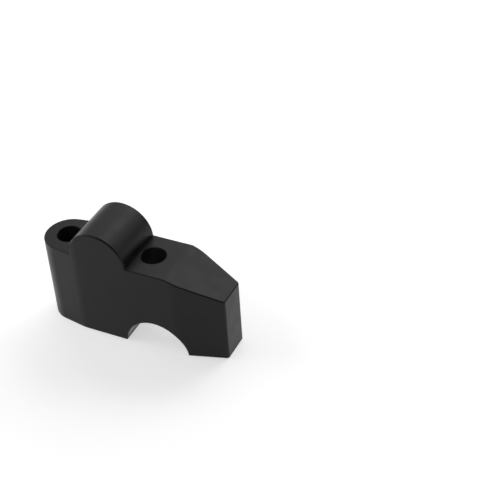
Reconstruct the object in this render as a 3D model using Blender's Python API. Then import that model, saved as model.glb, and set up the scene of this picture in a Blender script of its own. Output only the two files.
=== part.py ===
"""Motorcycle bar riser, machined from one block of aluminium.

It is drawn the way it lies on a bench, on its two feet. In use it is the other way up:
the crown takes the handlebar's place in the fork's clamp, two long screws through the lug
hole and the saddle hole hold the riser down, and the handlebar lies in the saddle, higher
and further back, under the clamp's own cap and two short screws.

Metres, +Z up. X runs from the lug to the narrow end, and Y along the handlebar. The origin
is in the middle of the outline's length and width, on the plane of the two feet.
"""

import bpy
import bmesh
from math import acos, atan2, cos, pi, radians, sin, tan
from mathutils import Matrix, Vector

# The handlebar, and the round forms that follow it
BAR_DIAMETER = 0.0222
CROWN_CLEARANCE = 0.0007          # the crown is smaller than the bar by this, across
SADDLE_CLEARANCE = 0.0008         # the saddle is larger than the bar by this, across
CROWN_AXIS_DEPTH = 0.0002         # the crown's axis lies this far below the top flat
SADDLE_AXIS_DEPTH = 0.0009        # the saddle's axis lies this far below the foot faces
BAR_SETBACK = 0.0194              # along X, from the crown's axis to the saddle's

# The block
BODY_WIDTH = 0.020                # along Y
BODY_HEIGHT = 0.0314              # from the foot faces to the top flat
END_FACE_HEIGHT = 0.0244          # of the narrow end
END_FACE_WIDTH = 0.011
END_TAPER_LENGTH = 0.0156         # from the full width to the end face
LUG_RADIUS = 0.0086               # round the lug hole
LUG_TAPER_LENGTH = 0.0075         # from the lug hole's axis to the full width
TOP_FLAT_MARGIN = 0.0094          # flat past the saddle hole's axis, up to the slope
END_MARGIN = 0.0086               # from the far cap screw's axis to the end face
SIDE_BLEND_RADIUS = 0.014         # where the tapers leave the straight sides
END_CORNER_RADIUS = 0.001         # upright corners of the end face
EDGE_BREAK = 0.0003               # chamfer on every sharp outer edge

# The screws
SCREW_SPACING = 0.032             # of the clamp's pair, and of the cap's
SCREW_HOLE_DIAMETER = 0.0086      # clearance for M8
MOUTH_CHAMFER = 0.0003            # at each hole's mouth
HEAD_POCKET_DIAMETER = 0.014      # for a socket head of 13 mm
SCREW_HEAD_HEIGHT = 0.008
SCREW_HEAD_CLEARANCE = 0.0004     # between the head and the handlebar
CAP_DRILL_DIAMETER = 0.0068       # tapping drill for M8
CAP_DRILL_DEPTH = 0.020
DRILL_POINT_ANGLE = 118.0         # degrees

# Fineness
ARC_STEP = radians(3.0)
FINE_ARC_STEP = radians(15.0)
HOLE_SIDES = 64
SHARP_ANGLE = radians(30.0)
CUT_OVERSHOOT = 0.002             # how far a cutter runs past what it cuts
MERGE_DISTANCE = 0.000001

# Finish
ANODISED_BLACK = (0.030, 0.030, 0.032, 1.0)
ANODISED_ROUGHNESS = 0.42
ANODISED_METALLIC = 0.55

# Places along X, set out from the lug hole
crown_from_lug = SCREW_SPACING / 2
saddle_hole_from_lug = SCREW_SPACING
saddle_from_lug = crown_from_lug + BAR_SETBACK
near_cap_screw_from_lug = saddle_from_lug - SCREW_SPACING / 2
far_cap_screw_from_lug = saddle_from_lug + SCREW_SPACING / 2
end_face_from_lug = far_cap_screw_from_lug + END_MARGIN
body_length = LUG_RADIUS + end_face_from_lug

lug_x = LUG_RADIUS - body_length / 2
crown_x = lug_x + crown_from_lug
saddle_hole_x = lug_x + saddle_hole_from_lug
saddle_x = lug_x + saddle_from_lug
near_cap_screw_x = lug_x + near_cap_screw_from_lug
far_cap_screw_x = lug_x + far_cap_screw_from_lug
end_face_x = lug_x + end_face_from_lug
full_width_start_x = lug_x + LUG_TAPER_LENGTH
full_width_end_x = end_face_x - END_TAPER_LENGTH
slope_start_x = saddle_hole_x + TOP_FLAT_MARGIN

# Round forms and heights
crown_radius = (BAR_DIAMETER - CROWN_CLEARANCE) / 2
saddle_radius = (BAR_DIAMETER + SADDLE_CLEARANCE) / 2
crown_axis_z = BODY_HEIGHT - CROWN_AXIS_DEPTH
saddle_axis_z = -SADDLE_AXIS_DEPTH
crown_top_z = crown_axis_z + crown_radius
saddle_crest_z = saddle_axis_z + saddle_radius
head_seat_z = saddle_crest_z + SCREW_HEAD_CLEARANCE + SCREW_HEAD_HEIGHT
half_width = BODY_WIDTH / 2


def clear_scene():
    """Remove every object that the file opened with."""
    for obj in list(bpy.data.objects):
        bpy.data.objects.remove(obj, do_unlink=True)


def arc_points(centre, radius, start, end, step):
    """Points on an arc, both ends included, in steps of at most the given angle."""
    count = max(1, round(abs(end - start) / step))
    angles = [start + (end - start) * i / count for i in range(count + 1)]
    return [centre + radius * Vector((cos(a), sin(a))) for a in angles]


def rounded_corner(before, corner, after, radius, step):
    """Points of an arc that touches both straight runs beside a corner."""
    towards_before = (before - corner).normalized()
    towards_after = (after - corner).normalized()
    half_angle = towards_before.angle(towards_after) / 2
    run = radius / tan(half_angle)
    bisector = (towards_before + towards_after).normalized()
    centre = corner + bisector * (radius / sin(half_angle))
    first = corner + towards_before * run - centre
    last = corner + towards_after * run - centre
    start = atan2(first.y, first.x)
    turn = first.angle_signed(last)
    return arc_points(centre, radius, start, start - turn, step)


def side_outline():
    """Outline in X and Z, run past both ends, where the plan outline cuts it."""
    lug_end = lug_x - LUG_RADIUS - CUT_OVERSHOOT
    far_end = end_face_x + CUT_OVERSHOOT
    slope = (END_FACE_HEIGHT - BODY_HEIGHT) / (end_face_x - slope_start_x)
    far_end_z = END_FACE_HEIGHT + slope * CUT_OVERSHOOT
    saddle_dip = acos(SADDLE_AXIS_DEPTH / saddle_radius)
    crown_dip = acos(CROWN_AXIS_DEPTH / crown_radius)
    saddle = arc_points(Vector((saddle_x, saddle_axis_z)), saddle_radius,
                        pi / 2 + saddle_dip, pi / 2 - saddle_dip, ARC_STEP)
    crown = arc_points(Vector((crown_x, crown_axis_z)), crown_radius,
                       pi / 2 - crown_dip, pi / 2 + crown_dip, ARC_STEP)
    return [
        Vector((lug_end, 0.0)),
        *saddle,
        Vector((far_end, 0.0)),
        Vector((far_end, far_end_z)),
        Vector((slope_start_x, BODY_HEIGHT)),
        *crown,
        Vector((lug_end, BODY_HEIGHT)),
    ]


def plan_outline():
    """Outline in X and Y: round lug, tapers to the full width and to the end face."""
    lug = Vector((lug_x, 0.0))
    widest = Vector((full_width_start_x, -half_width))
    reach = widest - lug
    lug_turn = atan2(reach.y, reach.x) - acos(LUG_RADIUS / reach.length)
    lug_side = lug + LUG_RADIUS * Vector((cos(lug_turn), sin(lug_turn)))
    narrowing = Vector((full_width_end_x, -half_width))
    end_corner = Vector((end_face_x, -END_FACE_WIDTH / 2))
    other_end_corner = Vector((end_face_x, END_FACE_WIDTH / 2))

    near_side = [
        *rounded_corner(lug_side, widest, narrowing, SIDE_BLEND_RADIUS, ARC_STEP),
        *rounded_corner(widest, narrowing, end_corner, SIDE_BLEND_RADIUS, ARC_STEP),
        *rounded_corner(narrowing, end_corner, other_end_corner, END_CORNER_RADIUS, FINE_ARC_STEP),
    ]
    far_side = [Vector((point.x, -point.y)) for point in reversed(near_side)]
    nose = arc_points(lug, LUG_RADIUS, -lug_turn, lug_turn + 2 * pi, ARC_STEP)
    return near_side + far_side + nose


def extruded(name, outline, place, depth):
    """Closed prism: an outline placed in space, then extruded along a vector."""
    bm = bmesh.new()
    face = bm.faces.new([bm.verts.new(place(point)) for point in outline])
    swept = bmesh.ops.extrude_face_region(bm, geom=[face])
    moved = [item for item in swept["geom"] if isinstance(item, bmesh.types.BMVert)]
    bmesh.ops.translate(bm, verts=moved, vec=depth)
    bmesh.ops.recalc_face_normals(bm, faces=bm.faces)
    return linked_object(name, bm)


def turned(name, profile, x):
    """Closed turned cutter on an upright axis: a profile of radius and height, spun."""
    bm = bmesh.new()
    verts = [bm.verts.new((radius, 0.0, z)) for radius, z in profile]
    edges = [bm.edges.new(pair) for pair in zip(verts, verts[1:])]
    bmesh.ops.spin(bm, geom=verts + edges, cent=(0.0, 0.0, 0.0), axis=(0.0, 0.0, 1.0),
                   angle=2 * pi, steps=HOLE_SIDES, use_merge=True)
    bmesh.ops.remove_doubles(bm, verts=bm.verts, dist=MERGE_DISTANCE)
    bmesh.ops.holes_fill(bm, edges=bm.edges, sides=0)
    bmesh.ops.recalc_face_normals(bm, faces=bm.faces)
    bmesh.ops.transform(bm, matrix=Matrix.Translation((x, 0.0, 0.0)), verts=bm.verts)
    return linked_object(name, bm)


def linked_object(name, bm):
    """Store a bmesh as a new object in the scene."""
    mesh = bpy.data.meshes.new(name)
    bm.to_mesh(mesh)
    bm.free()
    obj = bpy.data.objects.new(name, mesh)
    bpy.context.scene.collection.objects.link(obj)
    return obj


def as_cutter(obj):
    """Mark an object as a tool of the cut and not a piece."""
    obj.hide_render = True
    obj.display_type = 'WIRE'
    return obj


def add_boolean(body, operation, cutter):
    """Cut the body with another object."""
    modifier = body.modifiers.new(cutter.name, 'BOOLEAN')
    modifier.operation = operation
    modifier.solver = 'EXACT'
    modifier.object = as_cutter(cutter)


def add_edge_break(body):
    """Chamfer the sharp outer edges; tangent and gentle edges stay."""
    modifier = body.modifiers.new("edge_break", 'BEVEL')
    modifier.width = EDGE_BREAK
    modifier.segments = 1
    modifier.limit_method = 'ANGLE'
    modifier.angle_limit = SHARP_ANGLE
    modifier.use_clamp_overlap = False


def bottom_mouth(radius):
    """Profile of a hole's chamfered mouth in the foot faces, from the outside in."""
    mouth = radius + MOUTH_CHAMFER
    return [(mouth, -CUT_OVERSHOOT), (mouth, 0.0), (radius, MOUTH_CHAMFER)]


def top_mouth(radius):
    """Profile of a hole's chamfered mouth in the top flat, from the inside out."""
    mouth = radius + MOUTH_CHAMFER
    return [
        (radius, BODY_HEIGHT - MOUTH_CHAMFER),
        (mouth, BODY_HEIGHT),
        (mouth, BODY_HEIGHT + CUT_OVERSHOOT),
    ]


def lug_hole():
    """Clearance hole right through the lug."""
    radius = SCREW_HOLE_DIAMETER / 2
    return turned("lug_hole", bottom_mouth(radius) + top_mouth(radius), lug_x)


def saddle_hole():
    """Clearance hole from the top flat into the saddle, with a pocket for the screw's head."""
    radius = SCREW_HOLE_DIAMETER / 2
    pocket_radius = HEAD_POCKET_DIAMETER / 2
    pocket = [(pocket_radius, 0.0), (pocket_radius, head_seat_z), (radius, head_seat_z)]
    return turned("saddle_hole", pocket + top_mouth(radius), saddle_hole_x)


def cap_screw_hole(name, x):
    """Blind tapping hole in a foot, for a screw of the cap over the handlebar."""
    radius = CAP_DRILL_DIAMETER / 2
    point = radius / tan(radians(DRILL_POINT_ANGLE / 2))
    floor = [(radius, CAP_DRILL_DEPTH), (0.0, CAP_DRILL_DEPTH + point)]
    return turned(name, bottom_mouth(radius) + floor, x)


def anodised_material():
    """Satin black anodised aluminium."""
    material = bpy.data.materials.new("anodised_black")
    material.use_nodes = True
    shader = material.node_tree.nodes["Principled BSDF"]
    shader.inputs["Base Color"].default_value = ANODISED_BLACK
    shader.inputs["Roughness"].default_value = ANODISED_ROUGHNESS
    shader.inputs["Metallic"].default_value = ANODISED_METALLIC
    return material


def riser_body():
    """The whole riser: side form cut to the plan form, edges broken, then drilled."""
    body = extruded("riser_body", side_outline(),
                    lambda p: (p.x, -half_width - CUT_OVERSHOOT, p.y),
                    Vector((0.0, BODY_WIDTH + 2 * CUT_OVERSHOOT, 0.0)))
    plan = extruded("plan_form", plan_outline(),
                    lambda p: (p.x, p.y, -CUT_OVERSHOOT),
                    Vector((0.0, 0.0, crown_top_z + 2 * CUT_OVERSHOOT)))
    add_boolean(body, 'INTERSECT', plan)
    add_edge_break(body)
    add_boolean(body, 'DIFFERENCE', lug_hole())
    add_boolean(body, 'DIFFERENCE', saddle_hole())
    add_boolean(body, 'DIFFERENCE', cap_screw_hole("near_cap_screw_hole", near_cap_screw_x))
    add_boolean(body, 'DIFFERENCE', cap_screw_hole("far_cap_screw_hole", far_cap_screw_x))
    body.data.shade_smooth()
    body.data.set_sharp_from_angle(angle=SHARP_ANGLE)
    body.data.materials.append(anodised_material())
    return body


clear_scene()
riser_body()
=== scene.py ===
"""Looks of the motorcycle bar riser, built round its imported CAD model.

The riser stands on its two feet on white paper, as in the photograph. One refined piece
takes the CAD body's place: the same form from the same sizes, with smoother curves,
chamfered edges and hole mouths, in satin black anodising. Lengths are in metres.
"""

import logging
from dataclasses import dataclass
from enum import Enum
from math import acos, atan2, cos, hypot, pi, radians, sin, tan

import bmesh
import bpy
from mathutils import Matrix, Vector

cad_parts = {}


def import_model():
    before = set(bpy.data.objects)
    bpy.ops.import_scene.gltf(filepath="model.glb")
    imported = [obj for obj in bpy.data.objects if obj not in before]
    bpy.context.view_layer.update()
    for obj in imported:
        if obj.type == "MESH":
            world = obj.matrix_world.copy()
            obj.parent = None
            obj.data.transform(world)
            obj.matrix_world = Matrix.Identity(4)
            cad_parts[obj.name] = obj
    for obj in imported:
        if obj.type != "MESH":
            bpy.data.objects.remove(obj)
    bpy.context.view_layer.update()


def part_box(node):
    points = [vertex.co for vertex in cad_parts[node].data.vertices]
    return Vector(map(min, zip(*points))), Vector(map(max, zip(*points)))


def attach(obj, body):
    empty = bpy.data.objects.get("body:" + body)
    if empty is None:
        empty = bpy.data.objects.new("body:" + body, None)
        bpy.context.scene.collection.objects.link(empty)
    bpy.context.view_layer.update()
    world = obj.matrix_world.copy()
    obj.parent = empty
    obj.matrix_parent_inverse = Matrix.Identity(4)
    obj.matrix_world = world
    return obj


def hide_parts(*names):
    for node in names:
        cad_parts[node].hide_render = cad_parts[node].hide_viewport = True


log = logging.getLogger("bar_riser")

CAD_NODE = "riser_body"
CAD_BODY = "root"
WAVE_LENGTH = pi / 10             # length of one band of a wave texture at scale 1
MERGE_DISTANCE = 0.000001         # corners closer than this are made one
UPRIGHT_AXIS = (0.0, 0.0, 1.0)
SIDE_AXIS = (0.0, -1.0, 0.0)      # a turn about it goes counterclockwise as the side is seen
WHITE = (1.0, 1.0, 1.0, 1.0)


class Plane(Enum):
    """The plane that an outline is drawn in."""

    SIDE = "XZ"
    PLAN = "XY"


class Cut(Enum):
    """What a boolean does with the body and another form."""

    KEEP_COMMON = "INTERSECT"
    TAKE_AWAY = "DIFFERENCE"


class Surface(Enum):
    """The three ways that the riser's faces are worked, as places in its list of finishes; the
    bored and drilled ones also get a lighter grey as painted light.
    """

    BLASTED = 0
    BORED = 1
    DRILLED = 2


class ToolAxis(Enum):
    """The axis that a tool turned about, which its marks run round."""

    ACROSS = "Y"
    UPRIGHT = "Z"


class OutlinePen:
    """Draws a closed outline in a bmesh, one run after another."""

    def __init__(self, plane: Plane, start: tuple[float, float]) -> None:
        """Put the pen down.

        Args:
            plane: The plane that the outline lies in.
            start: The first corner, in that plane.
        """
        self.plane = plane
        self.bm = bmesh.new()
        self.first = self.bm.verts.new(self.place(*start))
        self.tip = self.first

    def place(self, first: float, second: float) -> Vector:
        """Find the point in space of a point in the outline's plane.

        Args:
            first: Where it is along the plane's first axis.
            second: Where it is along the plane's second axis.

        Returns:
            The point in space.
        """
        if self.plane is Plane.SIDE:
            return Vector((first, 0.0, second))
        return Vector((first, second, 0.0))

    def line_to(self, first: float, second: float) -> bmesh.types.BMVert:
        """Draw a straight run.

        Args:
            first: Where it ends, along the plane's first axis.
            second: Where it ends, along the plane's second axis.

        Returns:
            The corner at its end.
        """
        grown = bmesh.ops.extrude_vert_indiv(self.bm, verts=[self.tip])
        self.tip = grown["verts"][0]
        self.tip.co = self.place(first, second)
        return self.tip

    def arc(self, centre: tuple[float, float], turn: float, steps: int) -> None:
        """Draw an arc from where the pen is.

        Args:
            centre: Its centre, in the outline's plane.
            turn: The angle it turns by, counterclockwise as the plane is seen from outside.
            steps: How many straight steps it is drawn in.
        """
        axis = SIDE_AXIS if self.plane is Plane.SIDE else UPRIGHT_AXIS
        swung = bmesh.ops.spin(
            self.bm, geom=[self.tip], cent=self.place(*centre),
            axis=axis, angle=turn, steps=steps,
        )
        self.tip = swung["geom_last"][0]

    def round_off(self, corner: bmesh.types.BMVert, run: float, segments: int) -> None:
        """Round one corner of the outline.

        Args:
            corner: The corner, with a straight run on both sides.
            run: How far from the corner the arc meets each run.
            segments: How many straight steps it is drawn in.
        """
        bmesh.ops.bevel(
            self.bm, geom=[corner], offset=run, offset_type="OFFSET",
            segments=segments, profile=0.5, affect="VERTICES", material=-1,
        )

    def close(self) -> None:
        """Join the last corner to the first."""
        self.bm.edges.new((self.tip, self.first))

    def swept(self, name: str, start: Vector, way: Vector) -> bpy.types.Object:
        """Fill the outline and make a prism of it.

        Args:
            name: The prism's name.
            start: How far the outline is moved first.
            way: How far and which way it is swept.

        Returns:
            The closed prism, in the scene.
        """
        bmesh.ops.contextual_create(self.bm, geom=self.bm.edges[:])
        bmesh.ops.translate(self.bm, verts=self.bm.verts, vec=start)
        far = bmesh.ops.extrude_face_region(self.bm, geom=self.bm.faces[:])["geom"]
        moved = [item for item in far if isinstance(item, bmesh.types.BMVert)]
        bmesh.ops.translate(self.bm, verts=moved, vec=way)
        bmesh.ops.recalc_face_normals(self.bm, faces=self.bm.faces)
        return linked(name, self.bm)


def linked(name: str, bm: bmesh.types.BMesh) -> bpy.types.Object:
    """Store a bmesh as a new object in the scene.

    Args:
        name: The object's name.
        bm: The bmesh, which is freed.

    Returns:
        The object, at the origin.
    """
    mesh = bpy.data.meshes.new(name)
    bm.to_mesh(mesh)
    bm.free()
    piece = bpy.data.objects.new(name, mesh)
    bpy.context.scene.collection.objects.link(piece)
    return piece


def turn_round(bm: bmesh.types.BMesh, sides: int) -> None:
    """Make a turned form of a profile.

    Args:
        bm: The bmesh that holds the profile, on one side of the Z axis.
        sides: How many sides the form has all round.
    """
    bmesh.ops.spin(
        bm, geom=bm.verts[:] + bm.edges[:], cent=(0.0, 0.0, 0.0), axis=UPRIGHT_AXIS,
        angle=2 * pi, steps=sides, use_merge=True,
    )
    bmesh.ops.remove_doubles(bm, verts=bm.verts, dist=MERGE_DISTANCE)


def settled(piece: bpy.types.Object) -> None:
    """Make a piece's modifiers part of its mesh.

    Args:
        piece: The object, which is left with no modifier.
    """
    depsgraph = bpy.context.evaluated_depsgraph_get()
    finished = bpy.data.meshes.new_from_object(piece.evaluated_get(depsgraph))
    piece.modifiers.clear()
    rough = piece.data
    piece.data = finished
    bpy.data.meshes.remove(rough)
    finished.name = piece.name


@dataclass(frozen=True)
class DrilledHole:
    """One upright hole, given by the turned form of the tool that cuts it."""

    name: str
    x: float
    profile: tuple[tuple[float, float], ...]
    sides: int = 96

    def holds(self, point: Vector, tolerance: float) -> bool:
        """Tell whether a point lies in the hole or on its wall.

        Args:
            point: The point.
            tolerance: How far outside the wall it may be.

        Returns:
            True if it does, and is above the plane of the feet.
        """
        widest = max(radius for radius, _ in self.profile)
        top = max(height for _, height in self.profile)
        away = hypot(point.x - self.x, point.y)
        return away < widest + tolerance and tolerance < point.z < top

    def cutter(self) -> bpy.types.Object:
        """Spin the profile of radius and height round the hole's axis.

        Returns:
            The closed form that the hole's tool sweeps.
        """
        bm = bmesh.new()
        tip = bm.verts.new((self.profile[0][0], 0.0, self.profile[0][1]))
        for radius, height in self.profile[1:]:
            tip = bmesh.ops.extrude_vert_indiv(bm, verts=[tip])["verts"][0]
            tip.co = (radius, 0.0, height)
        turn_round(bm, self.sides)
        bmesh.ops.holes_fill(bm, edges=bm.edges, sides=0)
        bmesh.ops.recalc_face_normals(bm, faces=bm.faces)
        bmesh.ops.translate(bm, verts=bm.verts, vec=(self.x, 0.0, 0.0))
        return linked(self.name, bm)


@dataclass
class RiserBody:
    """The whole riser: a side form cut to a plan form, with broken edges and holes."""

    body_width: float = 0.020
    body_height: float = 0.0314
    end_face_height: float = 0.0244
    end_face_width: float = 0.011
    end_taper_length: float = 0.0156
    lug_radius: float = 0.0086
    lug_taper_length: float = 0.0075
    top_flat_margin: float = 0.0094
    side_blend_radius: float = 0.014
    end_corner_radius: float = 0.001
    edge_break: float = 0.0003
    crown_edge_break: float = 0.00045

    crown_radius: float = 0.01075
    crown_axis_depth: float = 0.0002
    saddle_radius: float = 0.0115
    saddle_axis_depth: float = 0.0009
    bar_setback: float = 0.0194

    screw_spacing: float = 0.032
    screw_hole_radius: float = 0.0043
    mouth_chamfer: float = 0.00015
    head_pocket_radius: float = 0.007
    head_seat_height: float = 0.019
    cap_drill_radius: float = 0.0034
    cap_drill_depth: float = 0.020
    drill_point_angle: float = radians(118.0)

    overshoot: float = 0.002
    bore_tolerance: float = 0.00005
    round_steps: int = 180
    blend_segments: int = 8
    corner_segments: int = 8
    sharp_angle: float = radians(30.0)

    def __post_init__(self) -> None:
        """Set out the places along X, from the two ends of the CAD body."""
        low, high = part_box(CAD_NODE)
        self.half_width = self.body_width / 2
        self.lug_x = low.x + self.lug_radius
        self.end_face_x = high.x
        self.crown_x = self.lug_x + self.screw_spacing / 2
        self.crown_z = self.body_height - self.crown_axis_depth
        self.saddle_x = self.crown_x + self.bar_setback
        self.saddle_hole_x = self.lug_x + self.screw_spacing
        self.slope_start_x = self.saddle_hole_x + self.top_flat_margin

    def side_form(self) -> bpy.types.Object:
        """Draw the side outline, run past both ends, and sweep it across the width.

        Returns:
            The prism, a little wider and longer than the riser.
        """
        lug_end = self.lug_x - self.lug_radius - self.overshoot
        far_end = self.end_face_x + self.overshoot
        slope_length = self.end_face_x - self.slope_start_x
        fall = (self.end_face_height - self.body_height) / slope_length
        saddle_half_turn = acos(self.saddle_axis_depth / self.saddle_radius)
        saddle_reach = self.saddle_radius * sin(saddle_half_turn)
        crown_half_turn = acos(self.crown_axis_depth / self.crown_radius)
        crown_reach = self.crown_radius * sin(crown_half_turn)

        pen = OutlinePen(Plane.SIDE, (lug_end, 0.0))
        pen.line_to(self.saddle_x - saddle_reach, 0.0)
        saddle_centre = (self.saddle_x, -self.saddle_axis_depth)
        pen.arc(saddle_centre, -2 * saddle_half_turn, self.round_steps)
        pen.line_to(far_end, 0.0)
        pen.line_to(far_end, self.end_face_height + fall * self.overshoot)
        pen.line_to(self.slope_start_x, self.body_height)
        pen.line_to(self.crown_x + crown_reach, self.body_height)
        pen.arc((self.crown_x, self.crown_z), 2 * crown_half_turn, self.round_steps)
        pen.line_to(lug_end, self.body_height)
        pen.close()
        side = self.half_width + self.overshoot
        return pen.swept("bar_riser", Vector((0.0, -side, 0.0)), Vector((0.0, 2 * side, 0.0)))

    def plan_form(self) -> bpy.types.Object:
        """Draw the plan outline and sweep it up: round lug, tapers, narrow end.

        Returns:
            The prism, a little taller than the riser.
        """
        widest_x = self.lug_x + self.lug_taper_length
        narrowing_x = self.end_face_x - self.end_taper_length
        end_half = self.end_face_width / 2
        reach = hypot(self.lug_taper_length, self.half_width)
        lug_turn = atan2(self.half_width, self.lug_taper_length) + acos(self.lug_radius / reach)
        lug_taper = lug_turn - pi / 2
        end_taper = atan2(self.half_width - end_half, self.end_taper_length)
        tangent_x = self.lug_x + self.lug_radius * cos(lug_turn)
        tangent_y = self.lug_radius * sin(lug_turn)
        blend = self.side_blend_radius

        pen = OutlinePen(Plane.PLAN, (tangent_x, -tangent_y))
        near_widest = pen.line_to(widest_x, -self.half_width)
        near_narrowing = pen.line_to(narrowing_x, -self.half_width)
        near_corner = pen.line_to(self.end_face_x, -end_half)
        far_corner = pen.line_to(self.end_face_x, end_half)
        far_narrowing = pen.line_to(narrowing_x, self.half_width)
        far_widest = pen.line_to(widest_x, self.half_width)
        pen.line_to(tangent_x, tangent_y)
        pen.arc((self.lug_x, 0.0), 2 * (pi - lug_turn), self.round_steps)
        bmesh.ops.remove_doubles(pen.bm, verts=pen.bm.verts, dist=MERGE_DISTANCE)
        for corner in (near_widest, far_widest):
            pen.round_off(corner, blend * tan(lug_taper / 2), self.blend_segments)
        for corner in (near_narrowing, far_narrowing):
            pen.round_off(corner, blend * tan(end_taper / 2), self.blend_segments)
        corner_run = self.end_corner_radius * tan((pi / 2 - end_taper) / 2)
        for corner in (near_corner, far_corner):
            pen.round_off(corner, corner_run, self.corner_segments)
        start = Vector((0.0, 0.0, -self.overshoot))
        height = self.crown_z + self.crown_radius + 2 * self.overshoot
        return pen.swept("plan_form", start, Vector((0.0, 0.0, height)))

    def bottom_mouth(self, radius: float) -> tuple[tuple[float, float], ...]:
        """Return the profile of a chamfered mouth in the foot faces, from outside in."""
        mouth = radius + self.mouth_chamfer
        return (mouth, -self.overshoot), (mouth, 0.0), (radius, self.mouth_chamfer)

    def top_mouth(self, radius: float) -> tuple[tuple[float, float], ...]:
        """Set out the profile of a chamfered mouth in the top flat.

        Args:
            radius: The hole's radius.

        Returns:
            The mouth's corners, from the inside out.
        """
        mouth = radius + self.mouth_chamfer
        return (
            (radius, self.body_height - self.mouth_chamfer),
            (mouth, self.body_height),
            (mouth, self.body_height + self.overshoot),
        )

    def holes(self) -> list[DrilledHole]:
        """List the four upright holes.

        Returns:
            The two clearance holes of the clamp screws, and the cap screws' blind holes.
        """
        screw, pocket = self.screw_hole_radius, self.head_pocket_radius
        seat = self.head_seat_height
        drill, depth = self.cap_drill_radius, self.cap_drill_depth
        drill_tip = depth + drill / tan(self.drill_point_angle / 2)
        half_spacing = self.screw_spacing / 2
        through = (*self.bottom_mouth(screw), *self.top_mouth(screw))
        stepped = ((pocket, 0.0), (pocket, seat), (screw, seat), *self.top_mouth(screw))
        blind = (*self.bottom_mouth(drill), (drill, depth), (0.0, drill_tip))
        return [
            DrilledHole("lug_hole", self.lug_x, through),
            DrilledHole("saddle_hole", self.saddle_hole_x, stepped),
            DrilledHole("near_cap_screw_hole", self.saddle_x - half_spacing, blind),
            DrilledHole("far_cap_screw_hole", self.saddle_x + half_spacing, blind),
        ]

    def build(self) -> bpy.types.Object:
        """Machine the riser.

        Returns:
            The finished piece, with its modifiers made part of its mesh.
        """
        body = self.side_form()
        tools = [self.plan_form()]
        self.add_cut(body, Cut.KEEP_COMMON, tools[0])
        settled(body)
        self.break_edges(body)
        for hole in self.holes():
            tools.append(hole.cutter())
            self.add_cut(body, Cut.TAKE_AWAY, tools[-1])
        settled(body)
        for tool in tools:
            bpy.data.meshes.remove(tool.data)
        body.data.shade_smooth()
        body.data.set_sharp_from_angle(angle=self.sharp_angle)
        shading = body.modifiers.new("flat_faces_stay_flat", "WEIGHTED_NORMAL")
        shading.keep_sharp = True
        settled(body)
        return body

    def add_cut(self, body: bpy.types.Object, cut: Cut, tool: bpy.types.Object) -> None:
        """Cut the body with another form.

        Args:
            body: The body.
            cut: What is kept of it.
            tool: The form it is cut with.
        """
        modifier = body.modifiers.new(tool.name, "BOOLEAN")
        modifier.operation = cut.value
        modifier.solver = "EXACT"
        modifier.object = tool

    def break_edges(self, body: bpy.types.Object) -> None:
        """Chamfer every sharp outer edge, and the crown's arcs a little wider.

        Args:
            body: The body before it is drilled. Tangent, gentle and inside edges stay.
        """
        bm = bmesh.new()
        bm.from_mesh(body.data)
        share = bm.edges.layers.float.new("bevel_weight_edge")
        for edge in bm.edges:
            if edge.is_convex and edge.calc_face_angle(0.0) > self.sharp_angle:
                on_crown = all(self.is_on_crown(vert.co) for vert in edge.verts)
                edge[share] = 1.0 if on_crown else self.edge_break / self.crown_edge_break
        bm.to_mesh(body.data)
        bm.free()
        chamfer = body.modifiers.new("broken_edges", "BEVEL")
        chamfer.limit_method = "WEIGHT"
        chamfer.width = self.crown_edge_break
        chamfer.segments = 1
        chamfer.use_clamp_overlap = False
        chamfer.loop_slide = False
        settled(body)

    def is_on_crown(self, point: Vector) -> bool:
        """Tell whether a point lies on the crown's round."""
        away = hypot(point.x - self.crown_x, point.z - self.crown_z)
        return abs(away - self.crown_radius) < self.bore_tolerance

    def surface(self, centre: Vector) -> Surface:
        """Tell how a face is worked.

        Args:
            centre: The face's centre.

        Returns:
            Bored in the saddle, drilled in a hole below its mouth, and blasted elsewhere.
        """
        saddle = hypot(centre.x - self.saddle_x, centre.z + self.saddle_axis_depth)
        if abs(saddle - self.saddle_radius) < self.bore_tolerance:
            return Surface.BORED
        past_mouth = self.mouth_chamfer < centre.z < self.body_height - self.mouth_chamfer
        if past_mouth and any(hole.holds(centre, self.bore_tolerance) for hole in self.holes()):
            return Surface.DRILLED
        return Surface.BLASTED

    def dress(
        self, body: bpy.types.Object, finishes: dict[Surface, bpy.types.Material]
    ) -> None:
        """Give the piece its finishes and its place in the frame.

        Args:
            body: The finished piece.
            finishes: The material for each way that a face is worked.
        """
        body.data.materials.clear()
        for surface in Surface:
            body.data.materials.append(finishes[surface])
        for face in body.data.polygons:
            face.material_index = self.surface(face.center).value
        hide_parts(CAD_NODE)
        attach(body, CAD_BODY)


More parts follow.
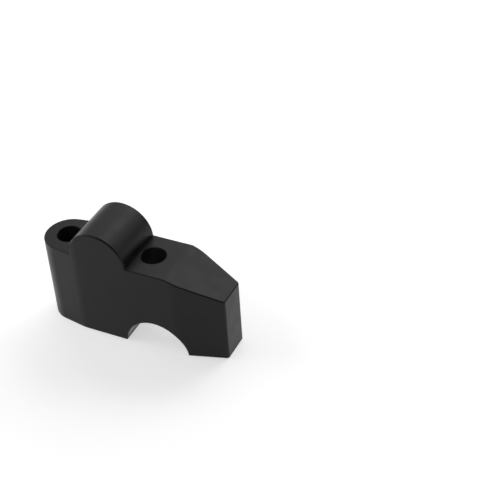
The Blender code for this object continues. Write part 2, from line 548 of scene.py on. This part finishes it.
@dataclass(frozen=True)
class AnodisedSkin:
    """The node group that all the finishes share: blasted pits, and clouds in the dye."""

    name: str = "anodised_skin"
    pit_detail: float = 2.0
    cloud_detail: float = 3.0
    cloud_edge: tuple[float, float] = (0.38, 0.62)

    def group(self) -> bpy.types.ShaderNodeTree:
        """Build the group.

        Returns:
            A group that takes a place, two sizes, and a plain and a changed value for the
            colour and the roughness, and gives the height of the pits and both values.
        """
        tree = bpy.data.node_groups.new(self.name, "ShaderNodeTree")
        socket = tree.interface.new_socket
        socket("Place", in_out="INPUT", socket_type="NodeSocketVector")
        for name in ("Pit Size", "Cloud Size", "Roughness", "Cloudy Roughness"):
            socket(name, in_out="INPUT", socket_type="NodeSocketFloat")
        for name in ("Colour", "Cloudy Colour"):
            socket(name, in_out="INPUT", socket_type="NodeSocketColor")
        socket("Colour", in_out="OUTPUT", socket_type="NodeSocketColor")
        for name in ("Roughness", "Pits"):
            socket(name, in_out="OUTPUT", socket_type="NodeSocketFloat")
        nodes, links = tree.nodes, tree.links
        given = nodes.new("NodeGroupInput").outputs
        result = nodes.new("NodeGroupOutput").inputs

        pits = self.noise(tree, given["Place"], given["Pit Size"], self.pit_detail)
        drift = self.noise(tree, given["Place"], given["Cloud Size"], self.cloud_detail)
        spread = nodes.new("ShaderNodeMapRange")
        spread.interpolation_type = "SMOOTHSTEP"
        thinnest, thickest = self.cloud_edge
        spread.inputs["From Min"].default_value = thinnest
        spread.inputs["From Max"].default_value = thickest
        links.new(drift, spread.inputs["Value"])
        clouds = spread.outputs["Result"]
        tint = nodes.new("ShaderNodeMix")
        tint.data_type = "RGBA"
        links.new(clouds, tint.inputs["Factor"])
        links.new(given["Colour"], tint.inputs["A"])
        links.new(given["Cloudy Colour"], tint.inputs["B"])
        dulled = nodes.new("ShaderNodeMix")
        links.new(clouds, dulled.inputs["Factor"])
        links.new(given["Roughness"], dulled.inputs["A"])
        links.new(given["Cloudy Roughness"], dulled.inputs["B"])
        links.new(tint.outputs["Result"], result["Colour"])
        links.new(dulled.outputs["Result"], result["Roughness"])
        links.new(pits, result["Pits"])
        return tree

    @staticmethod
    def noise(
        tree: bpy.types.ShaderNodeTree,
        place: bpy.types.NodeSocket,
        size: bpy.types.NodeSocket,
        detail: float,
    ) -> bpy.types.NodeSocket:
        """Add a noise whose grains have a given size.

        Args:
            tree: The tree it is added to.
            place: Where the noise is read.
            size: How large a grain is, in metres.
            detail: How many finer noises lie over it.

        Returns:
            The noise, about 0.5 on average.
        """
        scale = tree.nodes.new("ShaderNodeMath")
        scale.operation = "DIVIDE"
        scale.inputs[0].default_value = 1.0
        tree.links.new(size, scale.inputs[1])
        noise = tree.nodes.new("ShaderNodeTexNoise")
        noise.inputs["Detail"].default_value = detail
        tree.links.new(place, noise.inputs["Vector"])
        tree.links.new(scale.outputs["Value"], noise.inputs["Scale"])
        return noise.outputs["Fac"]


@dataclass(frozen=True)
class SatinAnodising:
    """Black anodising on aluminium, with blasted pits and, if it was cut, a tool's marks."""

    name: str
    grey: float
    cloudy_grey: float
    roughness: float
    cloudy_roughness: float
    refraction: float = 1.30
    pit_size: float = 0.00012
    pit_depth: float = 0.000010
    cloud_size: float = 0.006
    tool_axis: ToolAxis | None = None
    mark_pitch: float = 0.00018
    mark_depth: float = 0.000004
    mark_waver: float = 0.6

    def material(self, skin: bpy.types.ShaderNodeTree) -> bpy.types.Material:
        """Build the finish.

        Args:
            skin: The node group that all the finishes share.

        Returns:
            A material on Object coordinates.
        """
        material = bpy.data.materials.new(self.name)
        material.use_nodes = True
        nodes, links = material.node_tree.nodes, material.node_tree.links
        shader = nodes["Principled BSDF"]
        shader.inputs["IOR"].default_value = self.refraction
        place = nodes.new("ShaderNodeTexCoord").outputs["Object"]
        layer = nodes.new("ShaderNodeGroup")
        layer.node_tree = skin
        layer.inputs["Pit Size"].default_value = self.pit_size
        layer.inputs["Cloud Size"].default_value = self.cloud_size
        layer.inputs["Colour"].default_value = (self.grey, self.grey, self.grey, 1.0)
        layer.inputs["Cloudy Colour"].default_value = (
            self.cloudy_grey, self.cloudy_grey, self.cloudy_grey, 1.0
        )
        layer.inputs["Roughness"].default_value = self.roughness
        layer.inputs["Cloudy Roughness"].default_value = self.cloudy_roughness
        links.new(place, layer.inputs["Place"])
        links.new(layer.outputs["Colour"], shader.inputs["Base Color"])
        links.new(layer.outputs["Roughness"], shader.inputs["Roughness"])
        bump = nodes.new("ShaderNodeBump")
        bump.inputs["Distance"].default_value = self.pit_depth
        links.new(layer.outputs["Pits"], bump.inputs["Height"])
        if self.tool_axis is not None:
            ridges = self.tool_marks(material.node_tree, place, self.tool_axis)
            links.new(ridges, bump.inputs["Normal"])
        links.new(bump.outputs["Normal"], shader.inputs["Normal"])
        return material

    def tool_marks(
        self, tree: bpy.types.ShaderNodeTree, place: bpy.types.NodeSocket, axis: ToolAxis
    ) -> bpy.types.NodeSocket:
        """Add the fine ridges that a turning tool leaves.

        Args:
            tree: The material's tree.
            place: Where the ridges are read.
            axis: The axis that the tool turned about.

        Returns:
            The normal of the ridged face.
        """
        marks = tree.nodes.new("ShaderNodeTexWave")
        marks.bands_direction = axis.value
        marks.inputs["Scale"].default_value = WAVE_LENGTH / self.mark_pitch
        marks.inputs["Distortion"].default_value = self.mark_waver
        tree.links.new(place, marks.inputs["Vector"])
        ridges = tree.nodes.new("ShaderNodeBump")
        ridges.inputs["Distance"].default_value = self.mark_depth
        tree.links.new(marks.outputs["Fac"], ridges.inputs["Height"])
        return ridges.outputs["Normal"]


FINISHES: dict[Surface, SatinAnodising] = {
    Surface.BLASTED: SatinAnodising(
        "anodised_black", grey=0.0035, cloudy_grey=0.0065,
        roughness=0.33, cloudy_roughness=0.39,
    ),
    # Bored saddle: a real smoother, slightly lighter machined finish, with its grey raised
    # further as a painted highlight along the saddle's inside.
    Surface.BORED: SatinAnodising(
        "bored_black_painted_highlight", grey=0.025, cloudy_grey=0.035,
        roughness=0.13, cloudy_roughness=0.17, tool_axis=ToolAxis.ACROSS,
    ),
    # Drilled hole walls: bare machined metal, a little lighter in its own right, with the grey
    # raised further as painted light that lifts the shade inside the holes.
    Surface.DRILLED: SatinAnodising(
        "drilled_black_painted_light", grey=0.012, cloudy_grey=0.020,
        roughness=0.50, cloudy_roughness=0.60, tool_axis=ToolAxis.UPRIGHT,
    ),
}


def direction(azimuth: float, elevation: float) -> Vector:
    """Find the way from the riser to a place round it.

    Args:
        azimuth: Degrees round it, 0 on the -Y side and 90 on the +X side.
        elevation: Degrees above the floor.

    Returns:
        The unit vector that way.
    """
    turn, rise = radians(azimuth), radians(elevation)
    return Vector((sin(turn) * cos(rise), -cos(turn) * cos(rise), sin(rise)))


@dataclass(frozen=True)
class LampRow:
    """What the lamps of one row have in common: how high they hang, and their size."""

    elevation: float
    width: float
    height: float


UPPER_ROW = LampRow(elevation=47.0, width=0.27, height=0.35)
LOWER_ROW = LampRow(elevation=27.0, width=0.36, height=0.35)
LARGE_ROW = LampRow(elevation=37.0, width=0.55, height=0.70)


@dataclass(frozen=True)
class Softbox:
    """A soft lamp with an oblong front, which faces the riser."""

    name: str
    row: LampRow
    azimuth: float
    brightness: float
    distance: float = 1.0

    def hang(self, target: Vector) -> bpy.types.Object:
        """Put the lamp in the scene.

        Args:
            target: The point that it faces.

        Returns:
            The lamp's object.
        """
        lamp = bpy.data.lights.new(self.name, "AREA")
        lamp.shape = "RECTANGLE"
        lamp.size = self.row.width
        lamp.size_y = self.row.height
        lamp.energy = self.brightness * pi * self.row.width * self.row.height
        fitting = bpy.data.objects.new(self.name, lamp)
        away = direction(self.azimuth, self.row.elevation)
        fitting.location = target + away * self.distance
        fitting.rotation_euler = away.to_track_quat("Z", "Y").to_euler()
        bpy.context.scene.collection.objects.link(fitting)
        return fitting


@dataclass(frozen=True)
class PaperSweep:
    """White paper under the riser that curves up to a low wall all round it."""

    flat_radius: float = 1.6
    curve_radius: float = 0.4
    wall_top: float = 0.55
    sides: int = 96
    curve_steps: int = 12
    colour: tuple[float, float, float, float] = (0.8, 0.8, 0.8, 1.0)
    near_radius: float = 0.5
    far_radius: float = 1.5
    near_glow: float = 0.55
    far_glow: float = 0.50

    def lay(self) -> bpy.types.Object:
        """Lay the paper under the feet.

        Returns:
            The paper's object.
        """
        bm = bmesh.new()
        middle = bm.verts.new((0.0, 0.0, 0.0))
        tip = bmesh.ops.extrude_vert_indiv(bm, verts=[middle])["verts"][0]
        tip.co.x = self.flat_radius
        swung = bmesh.ops.spin(
            bm, geom=[tip], cent=(self.flat_radius, 0.0, self.curve_radius),
            axis=SIDE_AXIS, angle=pi / 2, steps=self.curve_steps,
        )
        top = bmesh.ops.extrude_vert_indiv(bm, verts=[swung["geom_last"][0]])["verts"][0]
        top.co.z = self.wall_top
        turn_round(bm, self.sides)
        bmesh.ops.recalc_face_normals(bm, faces=bm.faces)
        paper = linked("paper_sweep", bm)
        paper.data.shade_smooth()
        paper.data.materials.append(self.material())
        return paper

    def material(self) -> bpy.types.Material:
        """Build white paper that the lamps light, brought up to white for the camera.

        Returns:
            A material that glows a little less far from the riser.
        """
        material = bpy.data.materials.new("white_paper")
        material.use_nodes = True
        nodes, links = material.node_tree.nodes, material.node_tree.links
        shader = nodes["Principled BSDF"]
        shader.inputs["Base Color"].default_value = self.colour
        shader.inputs["Roughness"].default_value = 1.0
        shader.inputs["Specular IOR Level"].default_value = 0.0
        shader.inputs["Emission Color"].default_value = WHITE
        places = nodes.new("ShaderNodeTexCoord")
        reach = nodes.new("ShaderNodeVectorMath")
        reach.operation = "LENGTH"
        links.new(places.outputs["Object"], reach.inputs[0])
        glow = nodes.new("ShaderNodeMapRange")
        glow.interpolation_type = "SMOOTHSTEP"
        glow.inputs["From Min"].default_value = self.near_radius
        glow.inputs["From Max"].default_value = self.far_radius
        glow.inputs["To Min"].default_value = self.near_glow
        glow.inputs["To Max"].default_value = self.far_glow
        links.new(reach.outputs["Value"], glow.inputs["Value"])
        level = nodes.new("ShaderNodeMath")
        level.operation = "MULTIPLY"
        links.new(glow.outputs["Result"], level.inputs[0])
        links.new(white_to_the_eye(nodes, links), level.inputs[1])
        links.new(level.outputs["Value"], shader.inputs["Emission Strength"])
        return material


def white_to_the_eye(
    nodes: bpy.types.Nodes, links: bpy.types.NodeLinks
) -> bpy.types.NodeSocket:
    """Tell rays that end at the camera, straight or by gloss or glass, from the rest.

    Args:
        nodes: The nodes of the material or world.
        links: Its links.

    Returns:
        A value that is 1 for those rays and 0 for the light that falls on things.
    """
    path = nodes.new("ShaderNodeLightPath")
    total = path.outputs["Is Camera Ray"]
    for name in ("Is Glossy Ray", "Is Transmission Ray"):
        either = nodes.new("ShaderNodeMath")
        either.operation = "MAXIMUM"
        links.new(total, either.inputs[0])
        links.new(path.outputs[name], either.inputs[1])
        total = either.outputs["Value"]
    return total


@dataclass(frozen=True)
class Studio:
    """Paper sweep, and soft lamps all round the riser, the brightest behind it."""

    surround: float = 0.03
    target: tuple[float, float, float] = (0.0, 0.0, 0.02)
    lamps: tuple[Softbox, ...] = (
        Softbox("back_upper", UPPER_ROW, 180.0, 3.15),
        Softbox("back_lower", LOWER_ROW, 180.0, 1.35),
        Softbox("back_right_upper", UPPER_ROW, 157.5, 3.25),
        Softbox("back_right_lower", LOWER_ROW, 157.5, 2.7),
        Softbox("right_of_back_lower", LOWER_ROW, 135.0, 1.08),
        Softbox("back_left_upper", UPPER_ROW, -157.5, 1.5),
        Softbox("back_left_lower", LOWER_ROW, -157.5, 1.68),
        Softbox("left_of_back_upper", UPPER_ROW, -135.0, 1.38),
        Softbox("left_of_back_lower", LOWER_ROW, -135.0, 0.78),
        Softbox("behind_left_upper", UPPER_ROW, -112.5, 0.95),
        Softbox("behind_left_lower", LOWER_ROW, -112.5, 0.3),
        Softbox("left", LARGE_ROW, -80.0, 2.3),
        Softbox("front_left", LARGE_ROW, -40.0, 0.6),
        Softbox("front", LARGE_ROW, 0.0, 0.35),
        Softbox("front_right", LARGE_ROW, 40.0, 0.2),
        Softbox("right", LARGE_ROW, 80.0, 0.35),
    )

    def set_up(self) -> None:
        """Lay the paper, hang the lamps and dim the room."""
        PaperSweep().lay()
        for lamp in self.lamps:
            lamp.hang(Vector(self.target))
        world = bpy.data.worlds.new("dim_room")
        world.use_nodes = True
        background = world.node_tree.nodes["Background"]
        background.inputs["Color"].default_value = WHITE
        background.inputs["Strength"].default_value = self.surround
        bpy.context.scene.world = world


@dataclass(frozen=True)
class PhotoCamera:
    """The photograph's camera, found by a fit to the riser's outline and edges."""

    place: tuple[float, float, float] = (0.17689, -0.26274, 0.27711)
    azimuth: float = 27.2168
    elevation: float = 38.2668
    roll: float = -3.5600
    lens: float = 87.693
    sensor: float = 36.0
    nearest: float = 0.01
    farthest: float = 10.0

    def set_up(self) -> bpy.types.Object:
        """Create the camera and make it the scene's own.

        Returns:
            The camera's object.
        """
        camera = bpy.data.cameras.new("photo_camera")
        camera.lens = self.lens
        camera.sensor_width = self.sensor
        camera.clip_start = self.nearest
        camera.clip_end = self.farthest
        stand = bpy.data.objects.new("photo_camera", camera)
        turn = Matrix.Rotation(radians(self.azimuth), 4, "Z")
        tilt = Matrix.Rotation(radians(90.0 - self.elevation), 4, "X")
        roll = Matrix.Rotation(radians(self.roll), 4, "Z")
        stand.matrix_world = Matrix.Translation(self.place) @ turn @ tilt @ roll
        bpy.context.scene.collection.objects.link(stand)
        bpy.context.scene.camera = stand
        return stand


def main() -> None:
    """Build the riser round the frame, and the studio round the riser."""
    logging.basicConfig(level=logging.INFO, format="%(name)s: %(message)s")
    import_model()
    bpy.context.scene.view_settings.view_transform = "Standard"
    PhotoCamera().set_up()
    riser = RiserBody()
    body = riser.build()
    skin = AnodisedSkin().group()
    riser.dress(body, {
        surface: finish.material(skin) for surface, finish in FINISHES.items()
    })
    log.info("%s: %d faces", body.name, len(body.data.polygons))
    Studio().set_up()


if __name__ == "__main__":
    main()
